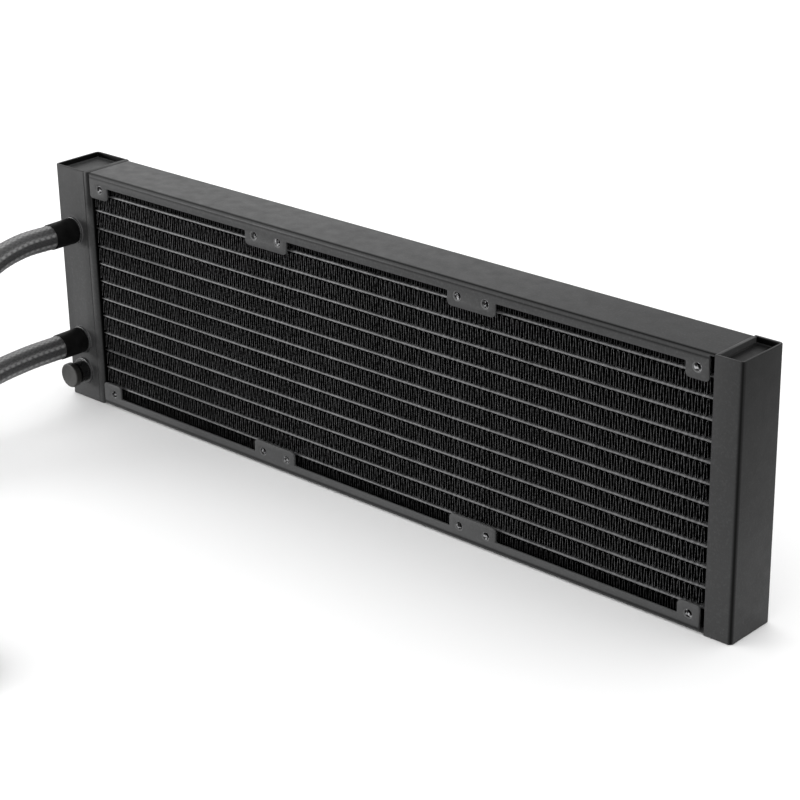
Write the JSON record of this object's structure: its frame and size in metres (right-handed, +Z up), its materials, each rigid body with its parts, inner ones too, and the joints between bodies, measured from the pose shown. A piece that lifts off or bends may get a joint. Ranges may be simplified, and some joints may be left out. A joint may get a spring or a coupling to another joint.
{
  "type": "liquid cooling radiator",
  "caption": "Slim flat-tube radiator for three fans in line, with end tanks, flanged side plates, a screw-plug fill port and two braided hoses ending in swivel elbows.",
  "frame": {"origin": "Under the middle of the fan hole pattern, at the middle of the thickness, on the outer face of the bottom side plate that the radiator stands on.", "axes": "+X runs along the length from the tank with the ports to the plain tank, -Y is the front that the ports and hoses leave from, +Z is up."},
  "size_m": [0.3975, 0.2514, 0.119],
  "materials": {
    "black_powder_coat": "satin black powder coat with a fine orange peel over aluminium sheet",
    "tube_coat": "thin dark grey coat over drawn aluminium, brighter than the fins",
    "fin_coat": "black coated louvred aluminium foil",
    "bare_aluminium": "turned bare aluminium",
    "grey_plug": "smooth dark grey moulded plastic",
    "black_rubber": "matte black rubber",
    "grey_braid": "rubber hose in a charcoal nylon braid",
    "black_fitting": "moulded satin black plastic"
  },
  "bodies": {
    "radiator": {"fill_neck": "black_powder_coat", "fin_strip_01": "fin_coat", "fin_strip_02": "fin_coat", "fin_strip_03": "fin_coat", "fin_strip_04": "fin_coat", "fin_strip_05": "fin_coat", "fin_strip_06": "fin_coat", "fin_strip_07": "fin_coat", "fin_strip_08": "fin_coat", "fin_strip_09": "fin_coat", "fin_strip_10": "fin_coat", "fin_strip_11": "fin_coat", "fin_strip_12": "fin_coat", "fin_strip_13": "fin_coat", "flat_tube_01": "tube_coat", "flat_tube_02": "tube_coat", "flat_tube_03": "tube_coat", "flat_tube_04": "tube_coat", "flat_tube_05": "tube_coat", "flat_tube_06": "tube_coat", "flat_tube_07": "tube_coat", "flat_tube_08": "tube_coat", "flat_tube_09": "tube_coat", "flat_tube_10": "tube_coat", "flat_tube_11": "tube_coat", "flat_tube_12": "tube_coat", "inlet_barb": "black_powder_coat", "inlet_collar": "black_rubber", "inlet_elbow": "black_fitting", "inlet_elbow_collar": "black_rubber", "inlet_hose": "grey_braid", "left_header_plate": "black_powder_coat", "left_tank": "black_powder_coat", "left_tank_baffle": "bare_aluminium", "left_tank_cap_bottom": "black_powder_coat", "left_tank_cap_top": "black_powder_coat", "outlet_barb": "black_powder_coat", "outlet_collar": "black_rubber", "outlet_elbow": "black_fitting", "outlet_elbow_collar": "black_rubber", "outlet_hose": "grey_braid", "right_header_plate": "black_powder_coat", "right_tank": "black_powder_coat", "right_tank_cap_bottom": "black_powder_coat", "right_tank_cap_top": "black_powder_coat", "side_plate_bottom": "black_powder_coat", "side_plate_top": "black_powder_coat"},
    "plug_seal": {"fill_seal": "black_rubber"},
    "plug": {"fill_plug": "grey_plug"},
    "inlet_swivel": {"inlet_swivel_base": "black_fitting", "inlet_swivel_seal": "black_rubber"},
    "outlet_swivel": {"outlet_swivel_base": "black_fitting", "outlet_swivel_seal": "black_rubber"}
  },
  "joints": [
    {"name": "plug_lift", "type": "slide", "parent": "radiator", "child": "plug_seal", "axis": [0, -1, 0], "range_m": [0, 0.0051]},
    {"name": "plug_turn", "type": "hinge", "parent": "plug_seal", "child": "plug", "pos_m": [-0.1937, -0.0204, 0.0145], "axis": [0, -1, 0], "range_deg": [0, 1800]},
    {"name": "inlet_swivel_turn", "type": "hinge", "parent": "radiator", "child": "inlet_swivel", "pos_m": [-0.0177, -0.216, 0.0161], "axis": [0, 0, 1], "continuous": true},
    {"name": "outlet_swivel_turn", "type": "hinge", "parent": "radiator", "child": "outlet_swivel", "pos_m": [-0.0082, -0.23, 0.0161], "axis": [0, 0, 1], "continuous": true}
  ],
  "couplings": [
    {"joint": "plug_lift", "follows": "plug_turn", "m_per_rad": 0.00015915}
  ]
}
